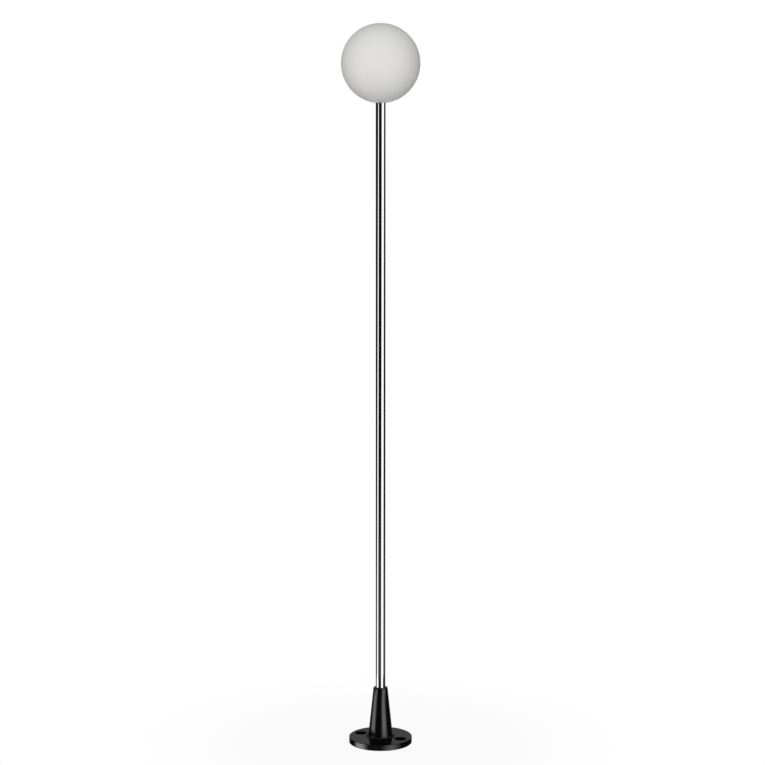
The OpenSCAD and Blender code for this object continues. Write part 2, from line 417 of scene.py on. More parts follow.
def evenRounding(bm, centre, radius, start, end, steps):
    # gives a rounding of the CAD mesh, an arc turned round Z, even rows in place of its uneven triangles
    slack = 0.02 * mm
    curve = arc(centre, radius, start, end, steps)
    first, last = Vector(curve[0]), Vector(curve[-1])
    lows = [min(first[axis], last[axis]) - slack for axis in range(2)]
    highs = [max(first[axis], last[axis]) + slack for axis in range(2)]

    def place(vertex):
        return Vector((vertex.co.xy.length, vertex.co.z))

    def onArc(vertex):
        at = place(vertex)
        return (all(lows[axis] < at[axis] < highs[axis] for axis in range(2))
                and abs((at - Vector(centre)).length - radius) < slack)

    old = {face for face in bm.faces if all(onArc(vertex) for vertex in face.verts)
           and not all((place(vertex) - last).length < slack for vertex in face.verts)}
    edges = {edge for face in old for edge in face.edges if not all(near in old for near in edge.link_faces)}
    ends = {vertex for edge in edges for vertex in edge.verts}
    lower = sorted((vertex for vertex in ends if (place(vertex) - first).length < slack), key=aroundAxis)
    upper = sorted((vertex for vertex in ends if (place(vertex) - last).length < slack), key=aroundAxis)
    bmesh.ops.delete(bm, geom=list(old), context="FACES")
    row = lower
    for r, z in curve[1:-1]:
        angles = [aroundAxis(vertex) for vertex in lower]
        following = [bm.verts.new((r * math.cos(a), r * math.sin(a), z)) for a in angles]
        for index in range(len(row)):
            after = (index + 1) % len(row)
            bm.faces.new((row[index], row[after], following[after], following[index]))
        row = following
    joinRings(bm, row, upper)


def softenedCopy(name, node, width, repair=None, weld=0.001 * mm, flatAngle=0.5, hardAngle=30.0):
    # a welded copy of a CAD node's mesh with every hard edge rounded a little
    bm = bmesh.new()
    bm.from_mesh(nodes[node].data)
    bmesh.ops.remove_doubles(bm, verts=bm.verts, dist=weld)
    if repair:
        repair(bm)
        bmesh.ops.recalc_face_normals(bm, faces=bm.faces)
    bmesh.ops.dissolve_limit(bm, angle_limit=math.radians(flatAngle), verts=bm.verts, edges=bm.edges)
    rough = finishMesh(name + ".rough", bm)
    bevel = rough.modifiers.new("soften", "BEVEL")
    bevel.width = width
    bevel.segments = 2
    bevel.limit_method = "ANGLE"
    bevel.angle_limit = math.radians(hardAngle)
    bevel.miter_outer = "MITER_ARC"
    weighted = rough.modifiers.new("weighted", "WEIGHTED_NORMAL")
    weighted.keep_sharp = True
    graph = bpy.context.evaluated_depsgraph_get()
    mesh = bpy.data.meshes.new_from_object(rough.evaluated_get(graph), depsgraph=graph)
    mesh.name = name
    bpy.data.objects.remove(rough)
    return addObject(name, mesh)


def mount(piece, material, node=None):
    # finish and body, and the CAD node it takes the place of is hidden; every piece of the post is on the one
    # body
    piece.data.materials.clear()
    piece.data.materials.append(material)
    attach(piece, "root")
    if node:
        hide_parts(node)
    return piece


print("base casting")

paint = {
    "colour": (0.0018, 0.0018, 0.0019),
    "wornColour": (0.008, 0.008, 0.0083),
    "dustColour": (0.05, 0.049, 0.047),
    "roughness": (0.13, 0.16),
    "ior": 1.65,
    "peel": {"Scale": 1100.0, "Tooth": 0.15, "Patch Scale": 22.0}, "peelDepth": 0.006 * mm,
    # sand-cast skin inside the core, and what it adds to the roughness
    "sand": {"Scale": 420.0, "Tooth": 0.6, "Patch Scale": 60.0}, "sandDepth": 0.18 * mm,
    "sandRoughness": 0.15,
    # the fillet at the socket's foot is duller, because no cloth reaches it
    "footRoughness": 0.4, "footReach": (39.5 * mm, 36.5 * mm), "footTop": (22.0 * mm, 19.0 * mm),
    "footBottom": (12.0 * mm, 14.0 * mm),
    # what counts as the socket's tapered wall: how its faces lean, where they are and which way they look
    "wallLean": (0.05, 0.16), "wallInside": 17.0 * mm, "wallFacing": 0.97, "wallMatch": 0.94,
    "flangeThick": 15.5 * mm, "rimRound": 1.0 * mm, "footRound": 6.0 * mm, "lipRound": 1.5 * mm,
    "rimSteps": 6, "footSteps": 10, "lipSteps": 8,
    "dust": {"Amount": 0.02, "Scale": 140.0}, "dustRoughness": 0.3,
    "edges": {"Radius": 0.9 * mm, "Amount": 0.5, "Break Up": 260.0},
    "softEdge": 0.35 * mm,
    # the sand-cast core: under the flange, inside the rim, and up inside the socket
    "rimWall": 5.5 * mm, "underFlange": (0.8 * mm, 10.0 * mm),
    "coreRadius": 26.0 * mm, "coreLean": 0.105, "coreTop": 85.0 * mm,
    # machined, so left out of it: the bore and the bolt bosses
    "boreClear": 13.2 * mm, "boltAway": 58.0 * mm, "bossClear": 15.4 * mm,
}


def makePaint():
    # satin black powder coat, smooth outside, and over raw sand casting inside
    material, tree, shader = newMaterial("blackPaint")
    setSockets(shader, IOR=paint["ior"])
    grain = placeGroup(tree, grainGroup, paint["peel"])
    sand = placeGroup(tree, grainGroup, paint["sand"])
    edges = placeGroup(tree, edgeGroup, paint["edges"])
    dust = placeGroup(tree, dustGroup, paint["dust"])
    cored = addNode(tree, "ShaderNodeAttribute", attribute_name="cored").outputs["Fac"]
    worn = mixColours(tree, edges["Mask"], paint["colour"], paint["wornColour"])
    feed(tree, mixColours(tree, dust["Mask"], worn, paint["dustColour"]), shader.inputs["Base Color"])
    rough = addRange(tree, grain["Patches"], 0.0, 1.0, *paint["roughness"])
    rough = plus(tree, rough, times(tree, dust["Mask"], paint["dustRoughness"]))
    rough = plus(tree, rough, times(tree, cored, paint["sandRoughness"]))
    place = addNode(tree, "ShaderNodeTexCoord").outputs["Object"]
    x, y, z = wire(tree, "ShaderNodeSeparateXYZ", {0: place})
    squares = plus(tree, times(tree, x, x), times(tree, y, y))
    foot = addRange(tree, addMath(tree, "SQRT", squares), *paint["footReach"], smooth=True)
    for limit in (paint["footTop"], paint["footBottom"]):
        foot = times(tree, foot, addRange(tree, z, *limit, smooth=True))
    rough = plus(tree, rough, times(tree, foot, paint["footRoughness"]))
    feed(tree, rough, shader.inputs["Roughness"])
    peel = times(tree, grain["Height"], paint["peelDepth"] / paint["sandDepth"])
    skin = times(tree, sand["Height"], cored)
    addBump(tree, shader, plus(tree, peel, skin), paint["sandDepth"])
    return material


def outward(at):
    return at.xy.normalized()


def taperedWall(faces, centreOf):
    # faces of the socket's outside
    low, high = paint["wallLean"]
    return [face for face in faces
            if low < face.normal.z < high and centreOf(face).xy.length > paint["wallInside"]
            and centreOf(face).z > paint["flangeThick"]
            and outward(centreOf(face)).dot(face.normal.xy) > paint["wallFacing"]]


def repairRoundings(bm):
    bm.normal_update()
    wall = taperedWall(bm.faces, lambda face: face.calc_center_median())
    # the largest face reaches from the wall's lowest ring to its highest
    ends = sorted(max(wall, key=lambda face: face.calc_area()).verts, key=lambda vertex: vertex.co.z)
    low, high = [Vector((vertex.co.xy.length, vertex.co.z)) for vertex in (ends[0], ends[-1])]
    lean, flat = (low - high).normalized().x, (high - low).normalized().y
    reach = low.x * flat + low.y * lean
    flange, _, top = span("base_casting")
    thick, rim, foot, lip = (paint[key] for key in ("flangeThick", "rimRound", "footRound", "lipRound"))
    tilt = math.degrees(math.asin(lean))
    footAway = (reach + foot - (thick + foot) * lean) / flat
    lipAway = (reach - lip - (top - lip) * lean) / flat
    evenRounding(bm, (flange - rim, thick - rim), rim, 0, 90, paint["rimSteps"])
    evenRounding(bm, (footAway, thick + foot), foot, 180 + tilt, 270, paint["footSteps"])
    evenRounding(bm, (lipAway, top - lip), lip, tilt, 90, paint["lipSteps"])


def smoothWall(mesh):
    # faces of the tapered wall run far round the screw holes, so their normals come from its slope
    wall = taperedWall(mesh.polygons, lambda face: face.center)
    lean = max(wall, key=lambda face: face.area).normal.z
    flat = math.sqrt(1 - lean * lean)
    onWall = {index for face in wall for index in face.vertices}
    normals = [corner.vector.copy() for corner in mesh.corner_normals]
    for face in mesh.polygons:
        for corner in face.loop_indices:
            index = mesh.loops[corner].vertex_index
            if index in onWall:
                true = Vector((*(outward(mesh.vertices[index].co) * flat), lean))
                if true.dot(face.normal) > paint["wallMatch"]:
                    normals[corner] = true
    mesh.normals_split_custom_set(normals)


def makeCastBase():
    piece = softenedCopy("castBase", "base_casting", paint["softEdge"], repair=repairRoundings)
    smoothWall(piece.data)
    # marks the cored underside
    flange = span("base_casting")[0]
    low, high = paint["underFlange"]
    mesh = piece.data
    cored = mesh.attributes.new("cored", "FLOAT", "POINT")
    for vertex in mesh.vertices:
        x, y, height = vertex.co
        radius = math.hypot(x, y)
        underFlange = radius < flange - paint["rimWall"] and low < height < high
        core = paint["coreRadius"] - paint["coreLean"] * height
        inSocket = radius < core and high <= height < paint["coreTop"]
        inBore = radius < paint["boreClear"]
        atBolts = math.hypot(abs(x) - paint["boltAway"], y) < paint["bossClear"]
        if (underFlange or inSocket) and not inBore and not atBolts:
            cored.data[vertex.index].value = 1.0
    mount(piece, makePaint(), "base_casting")


makeCastBase()


print("grub screws")

grub = {
    "pitch": 1.0 * mm, "depth": 0.5 * mm, "chamfer": 0.5 * mm, "step": 0.1 * mm, "segments": 48,
    "cup": 1.3 * mm, "cupDepth": 0.8,     # the hollow point, its depth a share of its radius
    "socketWidth": 3.0 * mm, "socketDepth": 2.6 * mm,
    # the socket's countersunk mouth and the drill's cone at its floor, as shares of its width
    "mouth": (1.35, 1.28), "mouthDepth": (0.05 * mm, 0.25 * mm),
    "drillWidth": 0.85, "drillEdge": 0.05 * mm, "drillPoint": 0.6 * mm,
    "colour": (0.045, 0.045, 0.05), "roughness": (0.3, 0.42),
}


def hexShape(radius, height, angle):
    # the flats of a hexagon whose half width is the radius
    return radius / math.cos((angle % (math.pi / 3)) - math.pi / 6)


def makeGrubScrew(name, node, material):
    low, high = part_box(node)
    radius, length = (high.x - low.x) / 2, high.y - low.y
    root, chamfer, cup, edge = radius - grub["depth"], grub["chamfer"], grub["cup"], grub["step"]
    flats, floor = grub["socketWidth"] / 2, length - grub["socketDepth"]
    points = [(0, cup * grub["cupDepth"]), (cup, 0),
              (root - 2 * edge, 0), (root, edge), (radius, chamfer + edge)]
    points += threadRun(radius, chamfer + 3 * edge, length - chamfer - 2 * edge, grub["pitch"], grub["depth"])
    points += [(radius, length - chamfer), (root, length)]
    # countersunk into the hexagon, which ends in the cone of the drill
    (wide, narrow), (shallow, deep) = grub["mouth"], grub["mouthDepth"]
    points += [(flats * wide, length), (flats * narrow, length - shallow),
               (flats, length - deep, hexShape), (flats, floor, hexShape),
               (flats * grub["drillWidth"], floor - grub["drillEdge"]), (0, floor - grub["drillPoint"])]
    piece = lathe(name, points, grub["segments"])
    # laid along Y with its point against the tube
    centre = Vector(((low.x + high.x) / 2, low.y, (low.z + high.z) / 2))
    piece.data.transform(Matrix.Translation(centre) @ Matrix.Rotation(math.radians(-90), 4, "X"))
    mount(piece, material, node)


blackenedSteel = makeTurnedMetal("blackenedSteel", grub)
makeGrubScrew("lowerGrubScrew", "lower_grub_screw", blackenedSteel)
makeGrubScrew("upperGrubScrew", "upper_grub_screw", blackenedSteel)


print("cable grommet")

grommet = {
    "bore": 5.0 * mm, "sleeve": 9.0 * mm, "head": 2.0 * mm, "round": 0.9 * mm, "roundSteps": 6,
    "edge": 0.4 * mm, "seatEdge": 0.2 * mm, "mouthEdge": 0.8 * mm,
    "colour": (0.02, 0.02, 0.021), "cloud": (0.03, 0.03, 0.03), "roughness": (0.6, 0.75),
    "scale": 1500.0, "depth": 0.03 * mm, "dust": 0.1,
}


def makeGrommet():
    radius, low, high = span("cable_grommet")
    bore, sleeve, soft, edge = (grommet[key] for key in ("bore", "sleeve", "round", "edge"))
    head = low + grommet["head"]
    corners = [(bore, low, soft), (radius, low, soft), (radius, head, edge),
               (sleeve, head, grommet["seatEdge"]), (sleeve, high, edge), (bore, high, grommet["mouthEdge"])]
    points = section(corners, grommet["roundSteps"])
    mount(lathe("cableGrommet", points), makeMoulded("blackRubber", grommet), "cable_grommet")


makeGrommet()


print("pole tube")

tube = {
    "wall": 1.5 * mm, "edge": 0.3 * mm, "segments": 144,
    "rings": 24, "longest": 0.1,     # rings up the wall, where a face would be longer than this
    "colour": (0.62, 0.62, 0.622), "smudged": (0.6, 0.6, 0.6), "roughness": (0.03, 0.05),
    "lines": {"Across": 1800.0, "Along": 6.0, "Smudge Scale": 16.0}, "lineDepth": 0.00004 * mm,
}


def makeTube():
    radius, low, high = span("pole_tube")
    inner, edge = radius - tube["wall"], tube["edge"]
    corners = [(inner, low, edge), (radius, low, edge), (radius, high, edge), (inner, high, edge)]
    outside = section(corners)
    points = []
    for here, after in zip(outside, outside[1:] + outside[:1]):
        points.append(here)
        if abs(after[1] - here[1]) > tube["longest"]:
            points += [(here[0], here[1] + (after[1] - here[1]) * step / tube["rings"])
                       for step in range(1, tube["rings"])]
    # polished stainless steel, with the faint lines and haze of polishing
    material, tree, shader = newMaterial("polishedTube")
    setSockets(shader, Metallic=1.0)
    polish = placeGroup(tree, polishGroup, tube["lines"])
    body = mixColours(tree, polish["Smudges"], tube["colour"], tube["smudged"])
    coat(tree, shader, body, polish["Smudges"], tube["roughness"], polish["Height"], tube["lineDepth"])
    mount(lathe("polishedTube", points, tube["segments"]), material, "pole_tube")


makeTube()


print("fittings")

bush = {
    "colour": (0.62, 0.62, 0.63), "roughness": (0.22, 0.34),
    "tapped": 5.05 * mm, "plug": 10.95 * mm, "headHeight": 2.0 * mm,
    # turned grooves let the plug grip the tube's wall
    "grooves": (0.3, 0.5, 0.7), "grooveDepth": 0.6 * mm, "grooveHalf": (0.8 * mm, 0.3 * mm),
    "edge": 0.3 * mm, "headEdge": 0.35 * mm, "seatEdge": 0.2 * mm, "grooveEdge": 0.15 * mm, "lead": 1.0 * mm,
}


def makeBush(material):
    radius, low, high = span("top_bush")
    plug, tapped, shoulder = bush["plug"], bush["tapped"], high - bush["headHeight"]
    root, edge, (wide, narrow) = plug - bush["grooveDepth"], bush["grooveEdge"], bush["grooveHalf"]
    corners = [(tapped, low, bush["edge"]), (plug, low, bush["lead"])]
    for share in bush["grooves"]:
        at = low + (shoulder - low) * share
        corners += [(plug, at - wide, edge), (root, at - narrow, edge),
                    (root, at + narrow, edge), (plug, at + wide, edge)]
    corners += [(plug, shoulder, bush["seatEdge"]), (radius, shoulder, bush["headEdge"]),
                (radius, high, bush["headEdge"]), (tapped, high, bush["edge"])]
    mount(lathe("topBush", section(corners)), material, "top_bush")


nipple = {
    "colour": (0.75, 0.56, 0.27), "roughness": (0.2, 0.32),
    "bore": 3.5 * mm, "pitch": 1.0 * mm, "thread": 0.5 * mm, "edge": 0.3 * mm, "segments": 72,
}


def makeNipple():
    radius, low, high = span("hollow_nipple")
    bore, cut, edge = nipple["bore"], nipple["thread"], nipple["edge"]
    points = [(bore, low + edge), (bore + edge, low), (radius - cut, low), (radius, low + cut)]
    points += threadRun(radius, low + cut, high - cut, nipple["pitch"], cut)[1:-1]
    points += [(radius, high - cut), (radius - cut, high), (bore + edge, high), (bore, high - edge)]
    material = makeTurnedMetal("nippleBrass", nipple)
    mount(lathe("threadedNipple", points, nipple["segments"]), material, "hollow_nipple")


cup = {
    "wall": 2.4 * mm, "floor": 2.0 * mm, "innerRow": 5.0 * mm,
    "corner": 0.5 * mm, "boreEdge": 0.2 * mm, "edge": 0.3 * mm, "lead": 0.7 * mm,
    "pitch": 2.0 * mm, "thread": 0.8 * mm, "runOut": (1.6 * mm, 0.9 * mm),
}


def makeCup(material):
    radius, low, high = span("screw_cup")
    inner, bore, floor = radius - cup["wall"], bush["tapped"], low + cup["floor"]
    points = section([(inner, floor, cup["corner"]), (bore, floor, cup["boreEdge"]),
                      (bore, low, cup["boreEdge"]), (radius, low, cup["edge"])])
    points += threadRun(radius, low + cup["runOut"][0], high - cup["runOut"][1], cup["pitch"], cup["thread"])
    points += section([(radius, high, cup["lead"]), (inner, high, cup["edge"]),
                       (inner, low + cup["innerRow"])])
    mount(lathe("screwCup", points), material, "screw_cup")


turnedSteel = makeTurnedMetal("turnedSteel", bush)
makeBush(turnedSteel)
makeNipple()
makeCup(turnedSteel)


print("globe ring")

ring = {
    "recess": 15.5 * mm, "neck": 12.2 * mm, "wall": 2.5 * mm, "thread": 0.8 * mm, "runOut": 0.9 * mm,
    "edge": 0.4 * mm, "footEdge": 0.3 * mm, "fineEdge": 0.2 * mm, "shoulderEdge": 0.5 * mm,
    "footRow": 0.5 * mm, "segments": 120,
    "colour": (0.78, 0.78, 0.79), "roughness": (0.28, 0.4),
}
globeRadius = (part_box("globe")[1].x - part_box("globe")[0].x) / 2
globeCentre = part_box("globe")[1].z - globeRadius


def ballHeight(at, radius=globeRadius):
    # height of the ball's lower half at a distance from the axis
    return globeCentre - math.sqrt(radius * radius - at * at)


def makeGlobeRing():
    radius, _, high = span("globe_ring")
    ledge = span("ring_gasket")[2]
    recess, neck, edge, footEdge, fine = (
        ring[key] for key in ("recess", "neck", "edge", "footEdge", "fineEdge"))
    outer, shoulder, foot = neck + ring["wall"], ledge + ring["wall"], ballHeight(recess)
    points = section([(recess, foot, footEdge), (radius, ballHeight(radius), fine),
                      (radius, shoulder, ring["shoulderEdge"]), (outer, shoulder, edge),
                      (outer, high, edge), (neck, high, edge)])
    points += threadRun(neck, high - ring["runOut"], ledge + ring["runOut"], cup["pitch"], -ring["thread"])
    points += section([(neck, ledge, footEdge), (recess, ledge, fine), (recess, foot + ring["footRow"])])
    material = makeTurnedMetal("turnedAluminium", ring)
    mount(lathe("globeRing", points, ring["segments"]), material, "globe_ring")


gasket = {
    "innerEdge": 0.4 * mm, "outerEdge": 0.5 * mm, "roundSteps": 4,
    "colour": (0.7, 0.7, 0.68), "cloud": (0.66, 0.66, 0.63), "roughness": (0.5, 0.6),
    "scale": 1200.0, "depth": 0.02 * mm,
}


def makeGasket():
    low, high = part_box("ring_gasket")
    neck, inner, outer = ring["neck"], gasket["innerEdge"], gasket["outerEdge"]
    points = section([(neck, low.z, inner), (high.x, low.z, outer),
                      (high.x, high.z, outer), (neck, high.z, inner)], gasket["roundSteps"])
    mount(lathe("ringGasket", points), makeMoulded("whiteRubber", gasket), "ring_gasket")


# the bead that holds the ring in the glass, wiped to a fillet
cement = {
    "width": 2.6 * mm, "rise": 1.9 * mm, "foot": 1.0 * mm,
    "slit": 0.04 * mm, "clear": 0.05 * mm,       # from the ring and from the glass
    "topClear": 0.3 * mm,                        # under the ring's shoulder
    "steps": 8, "wipe": (246, 186), "wipeRadius": 2.6 * mm, "wipeCentre": (0.6 * mm, 1.6 * mm),
    "colour": (0.62, 0.6, 0.55), "cloud": (0.55, 0.53, 0.48), "roughness": (0.75, 0.9),
    "scale": 900.0, "depth": 0.12 * mm,
}


def makeCement():
    radius, shoulder = span("globe_ring")[0], span("ring_gasket")[2] + ring["wall"]
    inside = globeRadius - opal["thickness"]
    steps, reach, hole = cement["steps"], radius + cement["width"], opal["hole"] - cement["slit"]
    top = min(shoulder - cement["topClear"], ballHeight(radius, inside) + cement["rise"])
    slit = radius + cement["slit"]
    foot = ballHeight(slit) + cement["foot"]
    points = [(slit, foot), (hole, foot)]
    for step in range(steps + 1):
        at = hole + (reach - opal["hole"]) * step / steps
        points.append((at, ballHeight(at, inside) + cement["clear"]))
    away, above = cement["wipeCentre"]
    fillet = arc((reach + away, top + above), cement["wipeRadius"], *cement["wipe"], steps)
    points += [(max(slit, r), min(z, top)) for r, z in fillet] + [(slit, top)]
    mount(lathe("cementBead", points), makeMoulded("wipedCement", cement))


print("globe")

opal = {
    "thickness": 3.0 * mm, "segments": 160, "arcSteps": 96,
    "hole": 18.3 * mm, "edge": 1.0 * mm, "edgeReach": 2.2 * mm, "edgeSteps": 5,
    "colour": (0.88, 0.874, 0.854), "cloudColour": (0.868, 0.862, 0.842), "roughness": (0.42, 0.5),
    "ior": 1.5, "subsurface": 0.3, "scatter": 3.0 * mm,
    "grain": {"Scale": 2600.0, "Tooth": 0.5, "Patch Scale": 9.0}, "grainDepth": 0.01 * mm,
}


def makeGlobe():
    hole, inside = opal["hole"], globeRadius - opal["thickness"]
    middle, lipReach = (0, globeCentre), opal["hole"] + opal["edgeReach"]
    lowOut = math.degrees(math.asin(lipReach / globeRadius))
    lowIn = math.degrees(math.asin(lipReach / inside))
    outer = arc(middle, globeRadius, -90 + lowOut, 90, opal["arcSteps"])
    inner = arc(middle, inside, 90, -90 + lowIn, opal["arcSteps"])
    # the cut edge of the hole, fire-polished round on both sides
    lip = section([inner[-1], (hole, ballHeight(hole, inside), opal["edge"]),
                   (hole, ballHeight(hole), opal["edge"]), outer[0]], opal["edgeSteps"])[1:-1]
    points = outer[:-1] + [(0, globeCentre + globeRadius), (0, globeCentre + inside)] + inner[1:] + lip
    # white glass, etched to a satin surface
    material, tree, shader = newMaterial("opalGlass")
    setSockets(shader, IOR=opal["ior"], Subsurface_Weight=opal["subsurface"], Subsurface_Radius=(1, 1, 1),
               Subsurface_Scale=opal["scatter"])
    grain = placeGroup(tree, grainGroup, opal["grain"])
    body = mixColours(tree, grain["Patches"], opal["colour"], opal["cloudColour"])
    coat(tree, shader, body, grain["Patches"], opal["roughness"], grain["Height"], opal["grainDepth"])
    mount(lathe("opalGlobe", points, opal["segments"]), material, "globe")


makeGlobeRing()
makeGasket()
makeCement()
makeGlobe()


print("lamp")

holder = {
    "softEdge": 0.4 * mm, "capEdge": 0.2 * mm, "pinClear": 0.05 * mm,
    "colour": (0.8, 0.79, 0.75), "cloud": (0.74, 0.73, 0.68), "roughness": (0.45, 0.6),
    "scale": 1400.0, "depth": 0.03 * mm,
}


def makeLampBody(steel):
    ceramic = makeMoulded("whiteCeramic", holder)
    body = softenedCopy("ceramicHolder", "lamp_holder", holder["softEdge"])
    mount(body, ceramic, "lamp_holder")
    cap = mount(softenedCopy("lampCap", "lamp_cap", holder["capEdge"]), ceramic, "lamp_cap")
    # the two contact pins are bare metal
    cap.data.materials.append(steel)
    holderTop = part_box("lamp_holder")[1].z
    for polygon in cap.data.polygons:
        if polygon.center.z < holderTop - holder["pinClear"]:
            polygon.material_index = 1


def pinchShape(low, high, thick):
    # round at the top of the pinch, flattened to a bar at its foot
    def shape(radius, height, angle):
        blend = min(1.0, max(0.0, (height - low) / (high - low)))
        blend = blend * blend * (3 - 2 * blend)
        wide, deep = radius, thick + (radius - thick) * blend
        return wide * deep / math.hypot(deep * math.cos(angle), wide * math.sin(angle))
    return shape


capsule = {
    "foot": 6.4 * mm, "footEdge": 0.4 * mm,
    "pinchLow": 3.0 * mm, "pinchHeight": 9.0 * mm, "pinchThick": 2.1 * mm,
    "swellHeight": 10.0 * mm, "swellSteps": 12, "domeEnd": 78, "domeSteps": 14,
    "tip": 1.1 * mm, "tipHeight": 1.6 * mm, "tipFlare": 1.05, "tipRise": (0.25 * mm, 0.5 * mm),
    "tipArc": (15, 75), "tipSteps": 4, "segments": 64,
    "colour": (0.85, 0.85, 0.83), "cloud": (0.82, 0.82, 0.8), "roughness": (0.35, 0.45),
    "scale": 2400.0, "depth": 0.01 * mm,
}


def makeCapsule():
    low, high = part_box("lamp_envelope")
    radius, base, top = (high.x - low.x) / 2, low.z, high.z
    foot, edge, tip, dome = capsule["foot"], capsule["footEdge"], capsule["tip"], capsule["domeEnd"]
    pinch = pinchShape(base + capsule["pinchLow"], base + capsule["pinchHeight"], capsule["pinchThick"])
    points = [(0, base), (foot - edge, base, pinch), (foot, base + edge, pinch)]
    for step in range(1, capsule["swellSteps"] + 1):
        rise = step / capsule["swellSteps"]
        swell = foot + (radius - foot) * rise * rise * (3 - 2 * rise)
        points.append((swell, base + edge + capsule["swellHeight"] * rise, pinch))
    shoulder = top - capsule["tipHeight"] - radius
    points += arc((0, shoulder), radius, 0, dome, capsule["domeSteps"])
    lift, after = capsule["tipRise"]
    neck = shoulder + radius * math.sin(math.radians(dome)) + lift
    points += [(tip * capsule["tipFlare"], neck), (tip, neck + after)]
    points += arc((0, top - tip), tip, *capsule["tipArc"], capsule["tipSteps"]) + [(0, top)]
    piece = lathe("lampCapsule", points, capsule["segments"])
    mount(piece, makeMoulded("frostedLamp", capsule), "lamp_envelope")


makeLampBody(turnedSteel)
makeCapsule()


print("studio")

studio = {
    "floorSize": 60.0,
    "shadowReach": (0.12, 0.75),   # metres from the post over which the floor's shading fades to plain white
    "paper": (0.68, 0.68, 0.68),
    "shadowShare": 0.08,           # how much of the floor's own shading shows near the post
    "bandGloom": 0.02,
    "fill": 0.425,                 # level that diffuse surfaces get from all round
    "gloom": 0.007,                # what glossy surfaces see between the cards
    "ceiling": (0.11, 0.24),       # a ring of light, over the camera's side and behind the post
    "ceilingRise": (6.0, 14.0), "ceilingEnd": (34.0, 22.0),
    "zenith": 0.02,
    "ceilingSide": (120.0, 145.0),
    "backdrop": 0.9, "backdropSide": (163.0, 170.0), "backdropTop": (5.0, 1.0),
    "floorGlow": 0.07, "floorGlowRise": (-9.0, -16.0),      # a little below the horizon
    "deepGlow": 0.15, "deepGlowRise": (-24.0, -40.0),       # what faces the floor
}
# cards that glossy surfaces see, by azimuth from the camera; a pair is at the horizon and from cardLow down
tallCards = {
    "left": {"inner": (-42.5, -58.5), "outer": (-58.0, -92.0), "soft": 1.5, "top": 3.0, "level": 1.65},
    "right": {"inner": (28.0, 14.5), "outer": (84.0, 71.0), "soft": 1.5, "top": 14.0, "level": 1.65},
}
cardLow, cardFade, cardFoot = -15.0, 3.0, (-70.0, -56.0)
# small soft cards round the base; each comes up between two heights
baseCards = {
    "rimLeft": {"inner": -51.0, "outer": -88.0, "soft": 12.0, "level": 3.05, "rise": (-0.038, -0.046)},
    "rimRight": {"inner": 17.0, "outer": 55.0, "soft": 18.0, "level": 1.35, "rise": (-0.038, -0.046)},
    "rimFill": {"inner": -60.0, "outer": 40.0, "soft": 30.0, "level": 0.07, "rise": (-0.038, -0.046)},
    "socketLeft": {"inner": -57.0, "outer": -97.0, "soft": 14.0, "level": 1.9, "rise": (-0.02, -0.01)},
    "socketRight": {"inner": 18.0, "outer": 56.0, "soft": 16.0, "level": 2.0, "rise": (-0.045, 0.02)},
}
bands = {
    "cards": {"radius": 0.28, "azimuths": (-130.0, 130.0), "heights": (-0.2, 0.115), "fadeFrom": 0.09},
    # a dark strip that keeps the left card out of the socket's foot
    "flag": {"radius": 0.1, "azimuths": (-128.0, -42.0), "heights": (0.0095, 0.029), "fadeFrom": 0.0185},
}
bandSteps = 64


def makeFloor():
    half = studio["floorSize"] / 2
    mesh = bpy.data.meshes.new("floor")
    corners = [(-half, -half, 0), (half, -half, 0), (half, half, 0), (-half, half, 0)]
    mesh.from_pydata(corners, [], [(0, 1, 2, 3)])
    floor = addObject("floor", mesh)
    material, tree, _ = newMaterial("floorPaper")
    place = addNode(tree, "ShaderNodeTexCoord").outputs["Object"]
    away = wire(tree, "ShaderNodeVectorMath", {0: place}, operation="LENGTH")["Value"]
    near, far = studio["shadowReach"]
    share = addRange(tree, away, near, far, studio["shadowShare"], 0.0, smooth=True)
    paper = wire(tree, "ShaderNodeBsdfDiffuse", {"Color": studio["paper"]})[0]
    white = addNode(tree, "ShaderNodeEmission").outputs[0]
    seen = addNode(tree, "ShaderNodeLightPath").outputs["Is Camera Ray"]
    plain = times(tree, seen, addMath(tree, "SUBTRACT", 1.0, share))
    mixShaders(tree, addMath(tree, "SUBTRACT", 1.0, plain), white, paper)
    mesh.materials.append(material)
    floor.visible_glossy = False


def addAzimuth(tree, direction):
    # azimuth from the camera in degrees, 0 towards it, and the direction's height
    sockets = {"Vector": direction, "Angle": -math.radians(shot["azimuth"])}
    turned = wire(tree, "ShaderNodeVectorRotate", sockets, rotation_type="Z_AXIS")[0]
    x, y, z = wire(tree, "ShaderNodeSeparateXYZ", {0: turned})
    azimuth = addMath(tree, "ARCTAN2", x, times(tree, y, -1.0))
    return times(tree, azimuth, 180 / math.pi), z


def addCard(tree, azimuth, inner, outer, soft, side):
    # 1 between two azimuths, with soft edges
    fromInner = times(tree, addMath(tree, "SUBTRACT", azimuth, inner), side)
    fromOuter = times(tree, addMath(tree, "SUBTRACT", outer, azimuth), side)
    return times(tree, addRange(tree, fromInner, -soft, soft, smooth=True),
                   addRange(tree, fromOuter, -soft, soft, smooth=True))


